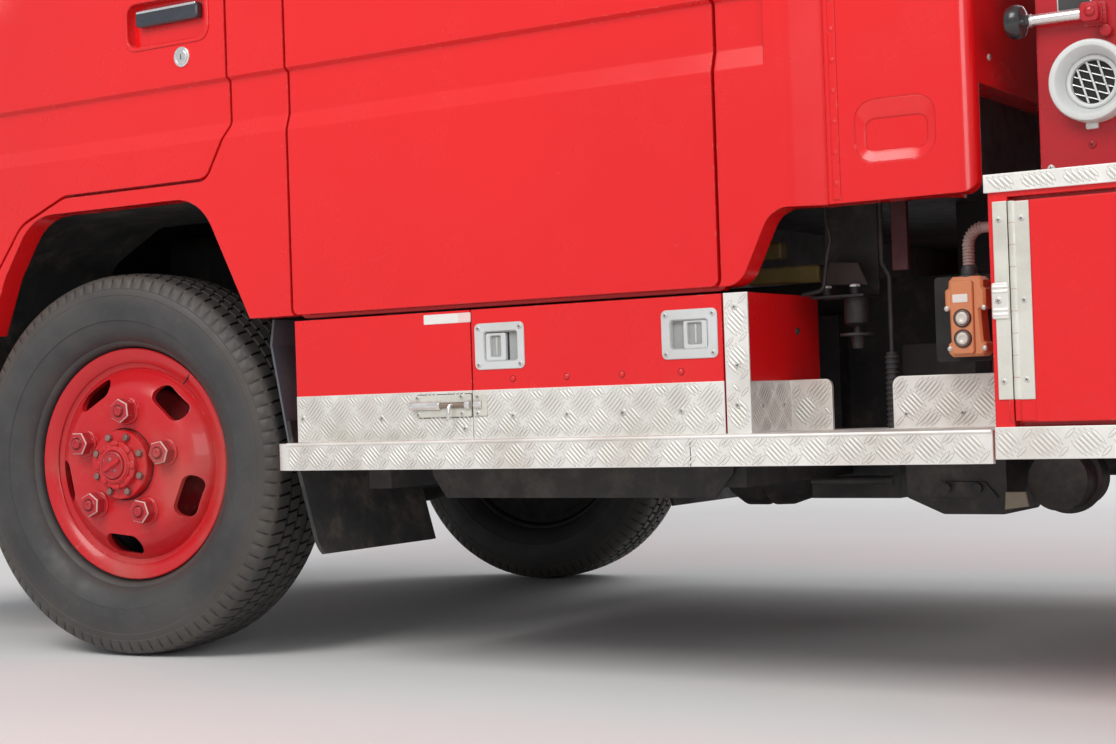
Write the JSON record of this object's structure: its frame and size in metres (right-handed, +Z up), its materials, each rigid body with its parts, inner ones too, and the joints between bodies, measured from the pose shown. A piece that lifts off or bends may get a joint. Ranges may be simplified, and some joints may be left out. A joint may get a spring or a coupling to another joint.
{
  "type": "small double-cab fire pumper",
  "caption": "Compact red double-cab fire pumper with opening doors and lockers, steered front wheels, twin rear wheels, pump bay, hose bed and roof ladder.",
  "frame": {"origin": "on the ground below the middle of the overall length and width", "axes": "+X forward, +Y to the vehicle left, +Z up"},
  "size_m": [5.6798, 2.21, 2.34],
  "materials": {
    "red": "gloss",
    "dark_red": "gloss",
    "wheel_red": "semi-gloss",
    "tread_plate": "rolled tread",
    "chassis_black": "matt, dusty",
    "guard_grey": "matt",
    "flap_rubber": "matt",
    "tyre_rubber": "matt",
    "window_glass": "clear",
    "trim_black": "grained",
    "seat_cover": "vinyl",
    "lamp_lens": "clear",
    "beacon_red": "clear red",
    "white_paint": "semi-gloss",
    "bright_metal": "satin",
    "orange_plastic": "weathered",
    "lead_rubber": "ribbed"
  },
  "bodies": {
    "vehicle": {"cab_front": "red", "cab_sides": "red", "cab_extension": "red", "cab_roof": "red", "flap_lockers": "red", "side_lockers": "red", "hose_bed": "red", "tail_lockers": "red", "pump_cabinet": "dark_red", "running_boards": "tread_plate", "tread_trim": "tread_plate", "rear_step": "tread_plate", "chassis_frame": "chassis_black", "front_axle": "chassis_black", "rear_axle": "chassis_black", "exhaust_and_tank": "chassis_black", "engine": "chassis_black", "pump": "chassis_black", "front_bumper": "chassis_black", "guards": "guard_grey", "mudflaps": "flap_rubber", "glazing": "window_glass", "dashboard": "trim_black", "pendant_bracket": "trim_black", "cab_floor": "trim_black", "seats": "seat_cover", "lamps": "lamp_lens", "light_bar": "beacon_red", "pump_fittings": "white_paint", "valve_levers": "bright_metal", "ladder": "bright_metal", "ladder_rack": "bright_metal", "pendant": "orange_plastic", "pendant_lead": "lead_rubber"},
    "door_front_left": {"door_front_left": "red", "glass_front_left": "window_glass", "mirror_left": "trim_black"},
    "door_front_right": {"door_front_right": "red", "glass_front_right": "window_glass", "mirror_right": "trim_black"},
    "door_rear_left": {"door_rear_left": "red", "glass_rear_left": "window_glass"},
    "door_rear_right": {"door_rear_right": "red", "glass_rear_right": "window_glass"},
    "flap_left": {"flap_left": "red"},
    "flap_right": {"flap_right": "red"},
    "side_locker_door_left": {"side_locker_door_left": "red"},
    "side_locker_door_right": {"side_locker_door_right": "red"},
    "knuckle_left": {"knuckle_left": "chassis_black"},
    "knuckle_right": {"knuckle_right": "chassis_black"},
    "tie_rod": {"tie_rod": "chassis_black"},
    "steering_wheel": {"steering_wheel": "trim_black"},
    "wheel_front_left": {"rim_front_left": "wheel_red", "tyre_front_left": "tyre_rubber"},
    "wheel_front_right": {"rim_front_right": "wheel_red", "tyre_front_right": "tyre_rubber"},
    "wheels_rear_left": {"rims_rear_left": "wheel_red", "tyres_rear_left": "tyre_rubber"},
    "wheels_rear_right": {"rims_rear_right": "wheel_red", "tyres_rear_right": "tyre_rubber"}
  },
  "joints": [
    {"name": "front_door_left", "type": "hinge", "parent": "vehicle", "child": "door_front_left", "pos_m": [2.4, 0.875, 1.2], "axis": [0, 0, -1], "range_deg": [0, 65]},
    {"name": "rear_door_left", "type": "hinge", "parent": "vehicle", "child": "door_rear_left", "pos_m": [1.238, 0.875, 1.2], "axis": [0, 0, -1], "range_deg": [0, 70]},
    {"name": "flap_left_fold", "type": "hinge", "parent": "vehicle", "child": "flap_left", "pos_m": [0.62, 0.87, 0.414], "axis": [-1, 0, 0], "range_deg": [0, 90]},
    {"name": "side_locker_left", "type": "hinge", "parent": "vehicle", "child": "side_locker_door_left", "pos_m": [-0.097, 0.94, 0.57], "axis": [0, 0, -1], "range_deg": [0, 110]},
    {"name": "front_door_right", "type": "hinge", "parent": "vehicle", "child": "door_front_right", "pos_m": [2.4, -0.875, 1.2], "axis": [0, 0, 1], "range_deg": [0, 65]},
    {"name": "rear_door_right", "type": "hinge", "parent": "vehicle", "child": "door_rear_right", "pos_m": [1.238, -0.875, 1.2], "axis": [0, 0, 1], "range_deg": [0, 70]},
    {"name": "flap_right_fold", "type": "hinge", "parent": "vehicle", "child": "flap_right", "pos_m": [0.62, -0.87, 0.414], "axis": [1, 0, 0], "range_deg": [0, 90]},
    {"name": "side_locker_right", "type": "hinge", "parent": "vehicle", "child": "side_locker_door_right", "pos_m": [-0.097, -0.94, 0.57], "axis": [0, 0, 1], "range_deg": [0, 110]},
    {"name": "steer_left", "type": "hinge", "parent": "vehicle", "child": "knuckle_left", "pos_m": [1.74, 0.64, 0.372], "axis": [0, 0, 1], "range_deg": [-41.6, 30.4]},
    {"name": "steer_right", "type": "hinge", "parent": "vehicle", "child": "knuckle_right", "pos_m": [1.74, -0.64, 0.372], "axis": [0, 0, 1], "range_deg": [-41.6, 30.4]},
    {"name": "tie_rod_end", "type": "hinge", "parent": "knuckle_left", "child": "tie_rod", "pos_m": [1.531, 0.61951, 0.297], "axis": [0, 0, 1], "range_deg": [-31.4, 42.6]},
    {"name": "steering_wheel_turn", "type": "hinge", "parent": "vehicle", "child": "steering_wheel", "pos_m": [2.33, -0.4, 1.29], "axis": [-0.6157, 0, 0.788], "range_deg": [-629, 461]},
    {"name": "spin_front_left", "type": "hinge", "parent": "knuckle_left", "child": "wheel_front_left", "pos_m": [1.73024, 0.73952, 0.372], "axis": [-0.0976, 0.9952, 0], "continuous": true},
    {"name": "spin_front_right", "type": "hinge", "parent": "knuckle_right", "child": "wheel_front_right", "pos_m": [1.74976, -0.73952, 0.372], "axis": [-0.0976, 0.9952, 0], "continuous": true},
    {"name": "spin_rear_left", "type": "hinge", "parent": "vehicle", "child": "wheels_rear_left", "pos_m": [-1.21, 0.7175, 0.372], "axis": [0, 1, 0], "continuous": true},
    {"name": "spin_rear_right", "type": "hinge", "parent": "vehicle", "child": "wheels_rear_right", "pos_m": [-1.21, -0.7175, 0.372], "axis": [0, 1, 0], "continuous": true}
  ],
  "couplings": [
    {"joint": "steer_right", "follows": "steer_left", "ratio": 1},
    {"joint": "tie_rod_end", "follows": "steer_left", "ratio": -1},
    {"joint": "steering_wheel_turn", "follows": "steer_left", "ratio": 15}
  ]
}
